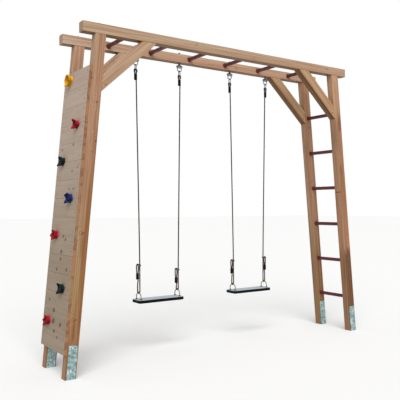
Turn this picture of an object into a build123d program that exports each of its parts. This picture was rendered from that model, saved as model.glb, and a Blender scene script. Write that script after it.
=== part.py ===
"""Timber monkey bars: overhead ladder, side ladder, climbing wall and two rope swings.

Millimetres, +Z up, +X along the beams towards the ladder, +Y towards the swing side.
The origin is on the ground, in the middle between the four posts.
"""

from build123d import *
import math
import os

os.makedirs("parts", exist_ok=True)

# ---------------------------------------------------------------- driving dimensions

# timber frame
beam_length = 2500.0
beam_depth = 66.0
beam_height = 69.0
beam_top = 2340.0
beam_line = 181.5          # each beam's centre line, from the middle plane
post_level_width = 77.0    # a post's width along X, measured level
post_depth = 63.0
foot_reach = 1375.0        # a post's outer face at the ground
head_reach = 1158.0        # a post's outer face under the beam
brace_angle = 42.0
brace_reach = 747.0        # middle of a brace where it meets the beam
timber_edge = 3.0          # eased edges of every timber
timber_spare = 80.0        # stock past a timber's ends before they are cut
brace_stock = 700.0

# rungs
rung_radius = 15.0
rung_wall = 2.0
rung_embed = 20.0
rung_count = 6
overhead_pitch = 358.0
ladder_first = 303.0       # distance of the lowest ladder rung up the post
ladder_pitch = 328.6
collar_radius = 19.5
collar_length = 12.0
collar_taper = 12.0

# climbing wall
board_count = 15
board_start = 158.0        # lower edge of the lowest board, up the post
board_pitch = 126.9
board_gap = 0.8
board_thickness = 23.0
board_edge = 1.2           # eased long edges of each board
screw_offset = 33.0        # a board screw from the middle line of its board
screw_head_radius = 4.5
screw_head_depth = 3.0
screw_radius = 2.5
screw_length = 48.0

# ground anchors
anchor_width = 60.0
anchor_length = 220.0
anchor_thickness = 5.0
anchor_corner = 15.0
anchor_spare = 30.0        # extra bar below the ground line, cut off level
anchor_bolt_heights = (51.0, 198.0)

# bolts and screws
clearance = 0.2            # holes over shanks, inside the timber
thread_end = 3.0           # of a bolt, past its nut
seat_gap = 0.1             # between a washer and the nut or head on it
bolt_radius = 5.0
lag_radius = 4.0
stud_radius = 6.0
beam_bolt_depth = 110.0    # down into a post
brace_screw_depth = 36.0   # down into a brace
toe_height = 1935.0
toe_setback = 28.0         # from the post's inner face
toe_pocket = 12.0
toe_head_depth = 9.0
toe_length = 62.0

# swings
swing_reach = 453.0        # middle of each swing along X
hanger_offset = 199.0      # hangers from the middle of their swing
bracket_offset = 174.0     # seat brackets from the middle of their swing
axle_drop = 28.0           # swing axle under the beam
axle_radius = 4.0
axle_play = 0.08
stirrup_bar = 4.0
stirrup_radius = 18.2
stirrup_bottom = 68.0      # middle of the stirrup's lowest bar, under the beam
link_bar = 3.0
link_radius = 10.0
rope_radius = 5.0
eye_radius = 12.0          # rope centre line round the thimble
eye_drop = 110.0           # middle of the rope eye under the beam
thimble_wall = 1.5
strand_offset = 5.3        # the two strands in a sleeve, from its middle
sleeve_wall = 2.0
sleeve_edge = 1.5
upper_sleeve_top = 133.0   # under the beam
upper_sleeve_length = 49.0
lower_sleeve_drop = 64.0   # top of a lower sleeve under its adjuster ring
lower_sleeve_length = 44.0
tail_inset = 8.0           # the rope's cut end, up inside a sleeve
ring_radius = 14.0
ring_bar = 2.5
ring_tilt = 25.0
ring_to_strand = 6.0       # sliding strand from the ring's middle
hook_radius = 8.5          # rope centre line round the ring's bar

# seats
seat_length = 405.0
seat_depth = 130.0
seat_thickness = 24.0
seat_top = 402.0
seat_corner = 22.0
seat_edge = 6.0
bracket_bar = 4.0
bracket_foot = 36.0        # each bracket leg from the rope's plane
bracket_apex = 460.0       # bar centre line at the top of the bend
bracket_bend = 15.2
bracket_knee = 9.0
bracket_slope = 40.0
loop_radius = 9.5          # rope centre line under the bracket

# ---------------------------------------------------------------- worked out from them

beam_under = beam_top - beam_height
beam_inner = beam_line - beam_depth / 2
post_inner = beam_line - post_depth / 2
lean = math.atan2(foot_reach - head_reach, beam_under)
lean_sin = math.sin(lean)
lean_cos = math.cos(lean)
foot_middle = foot_reach - post_level_width / 2
post_width = post_level_width * lean_cos
rung_height = beam_top - beam_height / 2
wall_width = 2 * beam_line + post_depth
axle_height = beam_under - axle_drop
eye_middle = beam_under - eye_drop

# the wall's plane lies on the left posts' outer faces: local x runs to -Y, local y up the lean
wall_plane = Plane(
    origin=(-foot_reach, 0, 0),
    x_dir=(0, -1, 0),
    z_dir=(-lean_cos, 0, lean_sin),
)
wall_face = wall_plane.offset(board_thickness)


def hand_over(builder, label):
    """Name a finished piece and write it to its own file."""
    builder.part.label = label
    export_step(builder.part, f"parts/{label}.step")


def upright(y, facing):
    """Upright plane at y that looks along facing * Y; local x is -facing * X, local y is Z."""
    return Plane(origin=(0, y, 0), x_dir=(-facing, 0, 0), z_dir=(0, facing, 0))


def post_plane(side, y):
    """Plane across a post at its foot, with its normal up the post's own lean."""
    return Plane(
        origin=(side * foot_middle, y, 0),
        x_dir=(lean_cos, 0, side * lean_sin),
        z_dir=(-side * lean_sin, 0, lean_cos),
    )


def post_face_plane(side, y, facing):
    """Plane on a post's front (-1) or back (1) face, with local y up the lean."""
    return Plane(
        origin=(side * foot_middle, y + facing * post_depth / 2, 0),
        x_dir=(-facing * lean_cos, 0, -facing * side * lean_sin),
        z_dir=(0, facing, 0),
    )


def along_post(side, distance):
    """X and Z of the post's centre line at a distance up the lean."""
    return (side * (foot_middle - distance * lean_sin), distance * lean_cos)


overhead_places = [
    ((i - (rung_count - 1) / 2) * overhead_pitch, rung_height) for i in range(rung_count)
]
ladder_places = [along_post(1, ladder_first + i * ladder_pitch) for i in range(rung_count)]
post_bolt_reach = head_reach - post_level_width / 2 + 2.0
hanger_places = [
    side * swing_reach + hand * hanger_offset for side in (-1, 1) for hand in (-1, 1)
]
board_middles = [board_start + (i + 0.5) * board_pitch for i in range(board_count)]
screw_places = [
    (column * beam_line, middle + row * screw_offset)
    for middle in board_middles
    for column in (-1, 1)
    for row in (-1, 1)
]


def toe_plane(side, y):
    """Start of the slanting screw that ties a brace's lower end to its post."""
    inner_reach = head_reach - post_level_width + (beam_under - toe_height) * math.tan(lean)
    return Plane(
        origin=(side * (inner_reach - toe_setback), y - post_depth / 2, toe_height),
        x_dir=(0, 0, 1),
        z_dir=(side * 0.8, 0.6, 0),
    )

# ---------------------------------------------------------------- timber frame


def make_beam(label, y, has_hangers):
    with BuildPart() as beam:
        with Locations((0, y, beam_under + beam_height / 2)):
            Box(beam_length, beam_depth, beam_height)
        fillet(beam.edges().filter_by(Axis.X), timber_edge)
        # blind sockets for the overhead rungs, on the inner face
        inward = -1 if y > 0 else 1
        with BuildSketch(upright(y + inward * beam_depth / 2, inward)):
            with Locations(*[(-inward * x, z) for x, z in overhead_places]):
                Circle(rung_radius + clearance)
        extrude(amount=-(rung_embed + 1), mode=Mode.SUBTRACT)
        # bolts down into the posts and lag screws down into the braces
        with BuildSketch(Plane.XY.offset(beam_under)):
            with Locations((-post_bolt_reach, y), (post_bolt_reach, y)):
                Circle(bolt_radius + clearance)
            with Locations((-brace_reach, y), (brace_reach, y)):
                Circle(lag_radius + clearance)
            if has_hangers:
                with Locations(*[(x, y) for x in hanger_places]):
                    Circle(stud_radius + clearance)
        extrude(amount=beam_height, mode=Mode.SUBTRACT)
    hand_over(beam, label)


def make_post(label, side, y):
    with BuildPart() as post:
        with BuildSketch(post_plane(side, y).offset(-timber_spare)):
            RectangleRounded(post_width, post_depth, timber_edge)
        extrude(amount=beam_under + 3 * timber_spare)
        split(bisect_by=Plane.XY.offset(beam_under), keep=Keep.BOTTOM)
        split(bisect_by=Plane.XY, keep=Keep.TOP)
        # bolt down from the beam
        with BuildSketch(Plane.XY.offset(beam_under)):
            with Locations((side * post_bolt_reach, y)):
                Circle(bolt_radius + clearance)
        extrude(amount=-(beam_bolt_depth + 2), mode=Mode.SUBTRACT)
        # anchor bolts, right through from the front
        with BuildSketch(post_face_plane(side, y, -1)):
            with Locations(*[(0, height) for height in anchor_bolt_heights]):
                Circle(bolt_radius + clearance)
        extrude(amount=-post_depth, mode=Mode.SUBTRACT)
        # slanting screw from the brace
        with BuildSketch(toe_plane(side, y)):
            Circle(screw_radius + clearance)
        extrude(amount=toe_length + 1, mode=Mode.SUBTRACT)
        if side > 0:
            # blind sockets for the ladder rungs, on the inner face
            inward = -1 if y > 0 else 1
            with BuildSketch(upright(y + inward * post_depth / 2, inward)):
                with Locations(*[(-inward * x, z) for x, z in ladder_places]):
                    Circle(rung_radius + clearance)
            extrude(amount=-(rung_embed + 1), mode=Mode.SUBTRACT)
        else:
            # pilot holes of the climbing wall's screws
            with BuildSketch(wall_plane):
                with Locations(*[place for place in screw_places if place[0] * y < 0]):
                    Circle(screw_radius + clearance)
            extrude(amount=-(screw_length - board_thickness + 4), mode=Mode.SUBTRACT)
    hand_over(post, label)


def make_brace(label, side, y):
    slope = math.radians(brace_angle)
    line = Plane(
        origin=(side * brace_reach, y, beam_under),
        x_dir=(math.sin(slope), 0, side * math.cos(slope)),
        z_dir=(-side * math.cos(slope), 0, math.sin(slope)),
    )
    post_side = Plane(
        origin=(side * (foot_reach - post_level_width), y, 0),
        z_dir=(side * lean_cos, 0, lean_sin),
    )
    with BuildPart() as brace:
        with BuildSketch(line.offset(-brace_stock)):
            RectangleRounded(post_level_width, post_depth, timber_edge)
        extrude(amount=brace_stock + timber_spare)
        split(bisect_by=Plane.XY.offset(beam_under), keep=Keep.BOTTOM)
        split(bisect_by=post_side, keep=Keep.BOTTOM)
        # lag screw down from the beam
        with BuildSketch(Plane.XY.offset(beam_under)):
            with Locations((side * brace_reach, y)):
                Circle(lag_radius + clearance)
        extrude(amount=-(brace_screw_depth + 1), mode=Mode.SUBTRACT)
        # pocket and pilot of the slanting screw into the post
        toe = toe_plane(side, y)
        with BuildSketch(toe.offset(-toe_pocket)):
            Circle(screw_head_radius + clearance)
        extrude(amount=toe_pocket + toe_head_depth, mode=Mode.SUBTRACT)
        with BuildSketch(toe):
            Circle(screw_radius + clearance)
        extrude(amount=toe_length, mode=Mode.SUBTRACT)
    hand_over(brace, label)


make_beam("beam_front", -beam_line, False)
make_beam("beam_rear", beam_line, True)
for side, side_name in ((-1, "left"), (1, "right")):
    for y, depth_name in ((-beam_line, "front"), (beam_line, "rear")):
        make_post(f"post_{depth_name}_{side_name}", side, y)
        make_brace(f"brace_{depth_name}_{side_name}", side, y)

# ---------------------------------------------------------------- rungs


def make_rung(label, place, half_length):
    with BuildPart() as rung:
        with BuildSketch(upright(0, -1)):
            with Locations(place):
                Circle(rung_radius)
                Circle(rung_radius - rung_wall, mode=Mode.SUBTRACT)
        extrude(amount=half_length, both=True)
    hand_over(rung, label)


for number, place in enumerate(overhead_places, 1):
    make_rung(f"overhead_rung_{number}", place, beam_inner + rung_embed)
for number, place in enumerate(ladder_places, 1):
    make_rung(f"ladder_rung_{number}", place, post_inner + rung_embed)

with BuildPart() as rung_collars:
    for inner_face, places in ((beam_inner, overhead_places), (post_inner, ladder_places)):
        for facing in (-1, 1):
            face = upright(-facing * inner_face, facing)
            with BuildSketch(face):
                with Locations(*[(-facing * x, z) for x, z in places]):
                    Circle(collar_radius)
            extrude(amount=collar_length, taper=collar_taper)
            with BuildSketch(face):
                with Locations(*[(-facing * x, z) for x, z in places]):
                    Circle(rung_radius + clearance / 2)
            extrude(amount=collar_length, mode=Mode.SUBTRACT)
hand_over(rung_collars, "rung_collars")

# ---------------------------------------------------------------- climbing wall

# holds: name, distance from the middle plane, distance up the wall, lobes, turn, base radius
hold_list = (
    ("hold_yellow_top", 98.0, 2003.0, 4, 20.0, 31.0),
    ("hold_red_upper", -98.0, 1672.0, 5, 10.0, 30.0),
    ("hold_green_upper", 98.0, 1430.0, 3, 80.0, 31.0),
    ("hold_blue_middle", -98.0, 1170.0, 4, 45.0, 29.0),
    ("hold_red_middle", 98.0, 922.0, 5, 0.0, 30.0),
    ("hold_green_lower", -98.0, 573.0, 3, 30.0, 31.0),
    ("hold_red_lower", 98.0, 336.0, 5, 55.0, 30.0),
)
hold_bolt_radius = 5.0
hold_seat_depth = 14.0     # the bolt head's seat over the boards
hold_head_radius = 8.5
hold_head_depth = 8.0
hold_foot_height = 9.0
hold_lobe_radius = 13.0
hold_lobe_height = 16.0
hold_core_height = 26.0
hold_key_radius = 4.0
hold_key_depth = 5.0
tee_barrel_length = 13.0
tee_flange_radius = 12.5
tee_barrel_radius = 6.5
tee_flange = 1.5


def hold_plane(across, up):
    """Plane on the wall's face at a hold, with its normal away from the wall."""
    spot = wall_face.from_local_coords((-across, up, 0))
    return Plane(origin=spot, x_dir=wall_face.x_dir, z_dir=wall_face.z_dir)


def make_hold(label, across, up, lobes, turn, base):
    face = hold_plane(across, up)
    with BuildPart() as hold:
        with BuildSketch(face):
            Circle(base)
        extrude(amount=hold_foot_height)
        with BuildSketch(face.offset(hold_foot_height - 2)):
            Circle(base - 2)
        extrude(amount=hold_core_height - hold_foot_height + 2, taper=22)
        with Locations(face.offset(hold_lobe_height)):
            with PolarLocations(base - 3, lobes, start_angle=turn):
                Sphere(hold_lobe_radius)
        split(bisect_by=face, keep=Keep.TOP)
        with BuildSketch(face):
            Circle(hold_bolt_radius + clearance)
        extrude(amount=hold_core_height, mode=Mode.SUBTRACT)
        with BuildSketch(face.offset(hold_seat_depth)):
            Circle(hold_head_radius + 2 * clearance)
        extrude(amount=hold_core_height, mode=Mode.SUBTRACT)
    hand_over(hold, label)


for name, across, up, lobes, turn, base in hold_list:
    make_hold(name, across, up, lobes, turn, base)
hold_places = [(-across, up) for _, across, up, _, _, _ in hold_list]

with BuildPart() as climbing_boards:
    with BuildSketch(wall_plane):
        with Locations(*[(0, middle) for middle in board_middles]):
            Rectangle(wall_width, board_pitch - board_gap)
    extrude(amount=board_thickness)
    fillet(climbing_boards.edges().filter_by(Axis.Y), board_edge)
    with BuildSketch(wall_plane):
        with Locations(*screw_places):
            Circle(screw_radius + clearance)
        with Locations(*hold_places):
            Circle(tee_barrel_radius + clearance)
    extrude(amount=board_thickness, mode=Mode.SUBTRACT)
    with BuildSketch(wall_face):
        with Locations(*screw_places):
            Circle(screw_head_radius + clearance)
    extrude(amount=-screw_head_depth, mode=Mode.SUBTRACT)
hand_over(climbing_boards, "climbing_boards")

with BuildPart() as board_screws:
    with BuildSketch(wall_face):
        with Locations(*screw_places):
            Circle(screw_head_radius)
    extrude(amount=-screw_head_depth)
    with BuildSketch(wall_face):
        with Locations(*screw_places):
            Circle(screw_radius)
    extrude(amount=-screw_length)
hand_over(board_screws, "board_screws")

# a socket-head bolt through each hold, and the tee nut behind its board
with BuildPart() as hold_fixings:
    with BuildSketch(wall_face.offset(hold_seat_depth)):
        with Locations(*hold_places):
            Circle(hold_head_radius)
    extrude(amount=hold_head_depth)
    with BuildSketch(wall_face.offset(hold_seat_depth)):
        with Locations(*hold_places):
            Circle(hold_bolt_radius)
    extrude(amount=-(hold_seat_depth + board_thickness + thread_end))
    with BuildSketch(wall_face.offset(hold_seat_depth + hold_head_depth)):
        with Locations(*hold_places):
            RegularPolygon(radius=hold_key_radius, side_count=6, major_radius=False)
    extrude(amount=-hold_key_depth, mode=Mode.SUBTRACT)
    with BuildSketch(wall_plane):
        with Locations(*hold_places):
            Circle(tee_barrel_radius)
            Circle(hold_bolt_radius + clearance / 2, mode=Mode.SUBTRACT)
    extrude(amount=tee_barrel_length)
    with BuildSketch(wall_plane):
        with Locations(*hold_places):
            Circle(tee_flange_radius)
            Circle(hold_bolt_radius + clearance / 2, mode=Mode.SUBTRACT)
    extrude(amount=-tee_flange)
hand_over(hold_fixings, "hold_fixings")

# ---------------------------------------------------------------- ground anchors and bolts

feet = [(side, y) for side in (-1, 1) for y in (-beam_line, beam_line)]
bolt_head_radius = 11.0
bolt_head_height = 5.0
nut_height = 8.0
nut_apothem = 8.5
washer_radius = 12.0
washer_thickness = 2.0

with BuildPart() as ground_anchors:
    for side, y in feet:
        face = post_face_plane(side, y, -1)
        with BuildSketch(face) as bar_shape:
            with Locations((0, anchor_length / 2 - anchor_spare / 2)):
                Rectangle(anchor_width, anchor_length + anchor_spare)
            fillet(bar_shape.vertices().sort_by(Axis.Y)[-2:], anchor_corner)
        extrude(amount=anchor_thickness)
    split(bisect_by=Plane.XY, keep=Keep.TOP)
    for side, y in feet:
        with BuildSketch(post_face_plane(side, y, -1)):
            with Locations(*[(0, height) for height in anchor_bolt_heights]):
                Circle(bolt_radius + clearance)
        extrude(amount=anchor_thickness, mode=Mode.SUBTRACT)
hand_over(ground_anchors, "ground_anchors")

with BuildPart() as anchor_bolts:
    bolt_spots = [(0, height) for height in anchor_bolt_heights]
    for side, y in feet:
        front = post_face_plane(side, y, -1).offset(anchor_thickness)
        back = post_face_plane(side, y, 1)
        with BuildSketch(front):
            with Locations(*bolt_spots):
                Circle(bolt_head_radius)
        extrude(amount=bolt_head_height, taper=28)
        with BuildSketch(front):
            with Locations(*bolt_spots):
                Circle(bolt_radius)
        extrude(amount=-(anchor_thickness + post_depth + washer_thickness + nut_height + thread_end))
        with BuildSketch(back):
            with Locations(*bolt_spots):
                Circle(washer_radius)
                Circle(bolt_radius + clearance, mode=Mode.SUBTRACT)
        extrude(amount=washer_thickness)
        with BuildSketch(back.offset(washer_thickness + seat_gap)):
            with Locations(*bolt_spots):
                RegularPolygon(radius=nut_apothem, side_count=6, major_radius=False)
                Circle(bolt_radius + clearance / 2, mode=Mode.SUBTRACT)
        extrude(amount=nut_height)
hand_over(anchor_bolts, "anchor_bolts")


def make_lag_screws(label, reach, radius, depth, across_flats, washer):
    """Hexagon-head lag screws with washers on the beams' top faces, and what ties the braces."""
    spots = [(side * reach, y) for side, y in feet]
    shank_top = beam_top + washer_thickness + seat_gap
    with BuildPart() as screws:
        with BuildSketch(Plane.XY.offset(beam_top)):
            with Locations(*spots):
                Circle(washer)
                Circle(radius + clearance, mode=Mode.SUBTRACT)
        extrude(amount=washer_thickness)
        with BuildSketch(Plane.XY.offset(shank_top)):
            with Locations(*spots):
                RegularPolygon(radius=across_flats / 2, side_count=6, major_radius=False)
        extrude(amount=across_flats * 0.4)
        with BuildSketch(Plane.XY.offset(shank_top)):
            with Locations(*spots):
                Circle(radius)
        extrude(amount=-(shank_top - beam_under + depth))
        if label == "brace_screws":
            for side, y in feet:
                head = toe_plane(side, y).offset(toe_head_depth)
                with BuildSketch(head):
                    Circle(screw_head_radius)
                extrude(amount=-screw_head_depth)
                with BuildSketch(head):
                    Circle(screw_radius)
                extrude(amount=toe_length - toe_head_depth)
    hand_over(screws, label)


make_lag_screws("beam_bolts", post_bolt_reach, bolt_radius, beam_bolt_depth, 17, 14)
make_lag_screws("brace_screws", brace_reach, lag_radius, brace_screw_depth, 13, 11)

# ---------------------------------------------------------------- swing hangers

barrel_radius = 13.0
barrel_half = 13.5
bush_radius = 7.0
bush_flange_radius = 9.0
bush_flange = 1.0
neck_height = 14.0         # of the cone between barrel and stud
stud_start = 8.0           # above the axle, inside the neck
stud_above = 17.0          # over the beam
hanger_washer_radius = 15.0
hanger_washer = 2.5
hanger_nut_apothem = 9.5
hanger_nut_height = 10.0


def across_plane(x):
    """Plane square to X at x; local x is Y, local y is Z."""
    return Plane(origin=(x, 0, 0), x_dir=(0, 1, 0), z_dir=(1, 0, 0))


axle_spot = (beam_line, axle_height)

with BuildPart() as swing_hangers:
    for x in hanger_places:
        with BuildSketch(across_plane(x)):
            with Locations(axle_spot):
                Circle(barrel_radius)
        extrude(amount=barrel_half, both=True)
        with Locations((x, beam_line, axle_height + neck_height)):
            Cone(barrel_radius, stud_radius + 1, neck_height)
        with BuildSketch(Plane.XY.offset(axle_height + stud_start)):
            with Locations((x, beam_line)):
                Circle(stud_radius)
        extrude(amount=beam_top + stud_above - axle_height - stud_start)
        with BuildSketch(across_plane(x)):
            with Locations(axle_spot):
                Circle(bush_radius)
        extrude(amount=barrel_half, both=True, mode=Mode.SUBTRACT)
hand_over(swing_hangers, "swing_hangers")

with BuildPart() as hanger_bushes:
    for x in hanger_places:
        with BuildSketch(across_plane(x)):
            with Locations(axle_spot):
                Circle(bush_radius)
        extrude(amount=barrel_half, both=True)
        for end in (-1, 1):
            with BuildSketch(across_plane(x + end * (barrel_half + bush_flange / 2))):
                with Locations(axle_spot):
                    Circle(bush_flange_radius)
            extrude(amount=bush_flange / 2, both=True)
        with BuildSketch(across_plane(x)):
            with Locations(axle_spot):
                Circle(axle_radius + axle_play)
        extrude(amount=barrel_half + bush_flange, both=True, mode=Mode.SUBTRACT)
hand_over(hanger_bushes, "hanger_bushes")

with BuildPart() as hanger_nuts:
    stud_spots = [(x, beam_line) for x in hanger_places]
    with BuildSketch(Plane.XY.offset(beam_top)):
        with Locations(*stud_spots):
            Circle(hanger_washer_radius)
            Circle(stud_radius + clearance, mode=Mode.SUBTRACT)
    extrude(amount=hanger_washer)
    with BuildSketch(Plane.XY.offset(beam_top + hanger_washer + seat_gap)):
        with Locations(*stud_spots):
            RegularPolygon(radius=hanger_nut_apothem, side_count=6, major_radius=False)
            Circle(stud_radius + clearance / 2, mode=Mode.SUBTRACT)
    extrude(amount=hanger_nut_height)
hand_over(hanger_nuts, "hanger_nuts")

# ---------------------------------------------------------------- swings

eye_half_thickness = 3.0
eye_outer_radius = 10.0
eye_trim = 3.0             # how far past an eye its cheeks are faced flat
axle_nut_apothem = 6.5
axle_nut_height = 6.5
axle_head_height = 5.5
thimble_half = 3.0
thimble_point = 11.0       # its lower end above the sleeve
stirrup_centre = beam_under - stirrup_bottom + stirrup_radius
link_top = beam_under - stirrup_bottom + stirrup_bar + 0.2 - (link_radius - link_bar)
link_low = eye_middle + 11.7
sleeve_radius = rope_radius + sleeve_wall

# adjuster ring heights, and the side of the rope that its lower sleeve is on
rope_settings = {
    ("left", "left"): (665.0, -1),
    ("left", "right"): (613.0, -1),
    ("right", "left"): (653.0, -1),
    ("right", "right"): (662.0, 1),
}


def rope_plane(x):
    """Upright plane of a rope, with its origin on the ground under x."""
    return Plane(origin=(x, beam_line, 0), x_dir=(1, 0, 0), z_dir=(0, -1, 0))


def rope_route(hanger_x, bracket_x, ring_z, side):
    """Corners of a rope's centre line and their radii, from its upper cut end to its lower one.

    Both ends turn back on themselves: up round the thimble, and up round the adjuster ring.
    """
    upper_bottom = beam_under - upper_sleeve_top - upper_sleeve_length
    upper_mouth = beam_under - upper_sleeve_top
    lower_mouth = ring_z - lower_sleeve_drop
    lower_bottom = lower_mouth - lower_sleeve_length
    sliding_x = bracket_x - side * loop_radius
    hook_x = sliding_x + side * (ring_to_strand + ring_radius)
    loop_bottom = bracket_apex - loop_radius
    eye_top = eye_middle + eye_radius
    corners = [
        (hanger_x + side * strand_offset, upper_bottom + tail_inset, 0),
        (hanger_x + side * strand_offset, upper_mouth + 5, 20),
        (hanger_x + side * eye_radius, eye_middle - 6, 20),
        (hanger_x + side * eye_radius, eye_top, eye_radius - 0.1),
        (hanger_x - side * eye_radius, eye_top, eye_radius - 0.1),
        (hanger_x - side * eye_radius, eye_middle - 6, 20),
        (hanger_x - side * strand_offset, upper_mouth + 5, 20),
        (hanger_x - side * strand_offset, upper_bottom - 10, 400),
        (sliding_x, ring_z + 40, 400),
        (sliding_x, loop_bottom, loop_radius - 0.1),
        (bracket_x + side * loop_radius, loop_bottom, loop_radius - 0.1),
        (bracket_x + side * loop_radius, lower_bottom - 34, 50),
        (hook_x - side * strand_offset, lower_bottom - 6, 50),
        (hook_x - side * strand_offset, lower_mouth + 8, 50),
        (hook_x - side * hook_radius, ring_z - 30, 50),
        (hook_x - side * hook_radius, ring_z + hook_radius, hook_radius - 0.1),
        (hook_x + side * hook_radius, ring_z + hook_radius, hook_radius - 0.1),
        (hook_x + side * hook_radius, ring_z - 30, 50),
        (hook_x + side * strand_offset, lower_mouth + 8, 50),
        (hook_x + side * strand_offset, lower_bottom + tail_inset, 0),
    ]
    return [(x, z) for x, z, _ in corners], [radius for _, _, radius in corners[1:-1]]


def make_rope(label, hanger_x, bracket_x, ring_z, side):
    corners, radii = rope_route(hanger_x, bracket_x, ring_z, side)
    with BuildPart() as rope:
        with BuildLine(rope_plane(0)) as route:
            FilletPolyline(*corners, radius=radii)
        line = route.wires()[0]
        with BuildSketch(Plane(origin=line @ 0, z_dir=line % 0)):
            Circle(rope_radius)
        sweep(path=line)
    hand_over(rope, label)
    expected = math.pi * rope_radius**2 * line.length
    print(label, "length", round(line.length, 1), "volume ratio", round(rope.part.volume / expected, 5))
    print("  radii", radii)


def make_sleeves(label, ropes):
    """A sleeve over each eye's two strands; each has blind pockets and a way through for the rope."""
    places = []
    for hanger_x, bracket_x, ring_z, side in ropes:
        hook_x = bracket_x + side * (ring_to_strand + ring_radius - loop_radius)
        through = -side * strand_offset
        places.append((hanger_x, beam_under - upper_sleeve_top, upper_sleeve_length, through))
        places.append((hook_x, ring_z - lower_sleeve_drop, lower_sleeve_length, through))
    with BuildPart() as sleeves:
        for x, mouth, length, _ in places:
            with BuildSketch(Plane.XY.offset(mouth)):
                with Locations((x, beam_line)):
                    SlotCenterToCenter(2 * strand_offset, 2 * sleeve_radius)
            extrude(amount=-length)
        fillet(sleeves.edges().filter_by(GeomType.CIRCLE), sleeve_edge)
        for x, mouth, length, through in places:
            with BuildSketch(Plane.XY.offset(mouth)):
                with Locations((x, beam_line)):
                    SlotCenterToCenter(2 * strand_offset, 2 * rope_radius + clearance)
            extrude(amount=-(length - tail_inset), mode=Mode.SUBTRACT)
            with BuildSketch(Plane.XY.offset(mouth)):
                with Locations((x + through, beam_line)):
                    Circle(rope_radius + clearance / 2)
            extrude(amount=-length, mode=Mode.SUBTRACT)
    hand_over(sleeves, label)


def make_rope_rings(label, ropes):
    """The thimble in each upper eye and the adjuster ring that each lower eye hooks."""
    thimble_radius = eye_radius - rope_radius - 0.1
    with BuildPart() as rope_rings:
        for hanger_x, bracket_x, ring_z, side in ropes:
            point_z = beam_under - upper_sleeve_top + thimble_point
            for shrink, how in ((0, Mode.ADD), (thimble_wall, Mode.SUBTRACT)):
                with BuildSketch(rope_plane(hanger_x)):
                    with Locations((0, eye_middle)):
                        Circle(thimble_radius - shrink)
                    with Locations((0, point_z)):
                        Circle(2 - shrink)
                    make_hull()
                extrude(amount=thimble_half, both=True, mode=how)
            ring_x = bracket_x + side * (ring_to_strand - loop_radius)
            tilt = math.radians(ring_tilt)
            ring_section = Plane(
                origin=(ring_x, beam_line, ring_z),
                x_dir=(1, 0, 0),
                z_dir=(0, -math.cos(tilt), -math.sin(tilt)),
            )
            with BuildSketch(ring_section):
                with Locations((ring_radius, 0)):
                    Circle(ring_bar)
            revolve(axis=Axis(ring_section.origin, ring_section.y_dir))
    hand_over(rope_rings, label)


def make_stirrups(label, hangers):
    with BuildPart() as stirrups:
        for x in hangers:
            with BuildLine(rope_plane(x)) as bend:
                down = Line((-stirrup_radius, axle_height - 4), (-stirrup_radius, stirrup_centre))
                CenterArc((0, stirrup_centre), stirrup_radius, 180, 180)
                Line((stirrup_radius, stirrup_centre), (stirrup_radius, axle_height - 4))
            with BuildSketch(Plane(origin=down @ 0, z_dir=down % 0)):
                Circle(stirrup_bar)
            sweep(path=bend.wires()[0])
            for end in (-1, 1):
                with BuildSketch(across_plane(x + end * stirrup_radius)):
                    with Locations(axle_spot):
                        Circle(eye_outer_radius)
                extrude(amount=eye_half_thickness, both=True)
            inner_half = stirrup_radius - eye_half_thickness
            with BuildSketch(across_plane(x)):
                with Locations(axle_spot):
                    Circle(eye_outer_radius + eye_trim)
            extrude(amount=inner_half, both=True, mode=Mode.SUBTRACT)
            with BuildSketch(across_plane(x)):
                with Locations(axle_spot):
                    Circle(axle_radius + clearance / 2)
            extrude(amount=stirrup_radius + eye_outer_radius, both=True, mode=Mode.SUBTRACT)
            for end in (-1, 1):
                outer = end * (stirrup_radius + eye_half_thickness)
                with BuildSketch(across_plane(x + outer)):
                    with Locations(axle_spot):
                        Circle(eye_outer_radius + eye_trim)
                extrude(amount=end * stirrup_bar, mode=Mode.SUBTRACT)
    hand_over(stirrups, label)


def make_axle_bolts(label, hangers):
    cheek = stirrup_radius + eye_half_thickness
    with BuildPart() as axle_bolts:
        for x in hangers:
            with BuildSketch(across_plane(x - cheek)):
                with Locations(axle_spot):
                    Circle(axle_radius)
            extrude(amount=2 * cheek + axle_nut_height + 2)
            with BuildSketch(across_plane(x - cheek)):
                with Locations(axle_spot):
                    RegularPolygon(radius=axle_nut_apothem, side_count=6, major_radius=False)
            extrude(amount=-axle_head_height)
            with BuildSketch(across_plane(x + cheek + seat_gap)):
                with Locations(axle_spot):
                    RegularPolygon(radius=axle_nut_apothem, side_count=6, major_radius=False)
                    Circle(axle_radius + clearance / 2, mode=Mode.SUBTRACT)
            extrude(amount=axle_nut_height)
    hand_over(axle_bolts, label)


def make_links(label, hangers):
    with BuildPart() as links:
        for x in hangers:
            with BuildLine(across_plane(x)) as loop:
                rise = Line((beam_line - link_radius, link_low), (beam_line - link_radius, link_top))
                CenterArc((beam_line, link_top), link_radius, 180, -180)
                Line((beam_line + link_radius, link_top), (beam_line + link_radius, link_low))
                CenterArc((beam_line, link_low), link_radius, 0, -180)
            with BuildSketch(Plane(origin=rise @ 0, z_dir=rise % 0)):
                Circle(link_bar)
            sweep(path=loop.wires()[0])
    hand_over(links, label)


# ---------------------------------------------------------------- seats

bend_centre = bracket_apex - bracket_bend
bend_corner = bend_centre + bracket_bend / math.cos(math.radians(bracket_slope))
knee_height = bend_corner - bracket_foot * math.tan(math.radians(bracket_slope))
nut_pocket_radius = 10.0
nut_pocket_depth = 10.0
seat_washer = 1.5
seat_washer_radius = 9.0
seat_nut_height = 6.0
leg_end = seat_top - seat_thickness + 1


def seat_feet(middle):
    return [
        (middle + hand * bracket_offset, beam_line + leg * bracket_foot)
        for hand in (-1, 1)
        for leg in (-1, 1)
    ]


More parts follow.
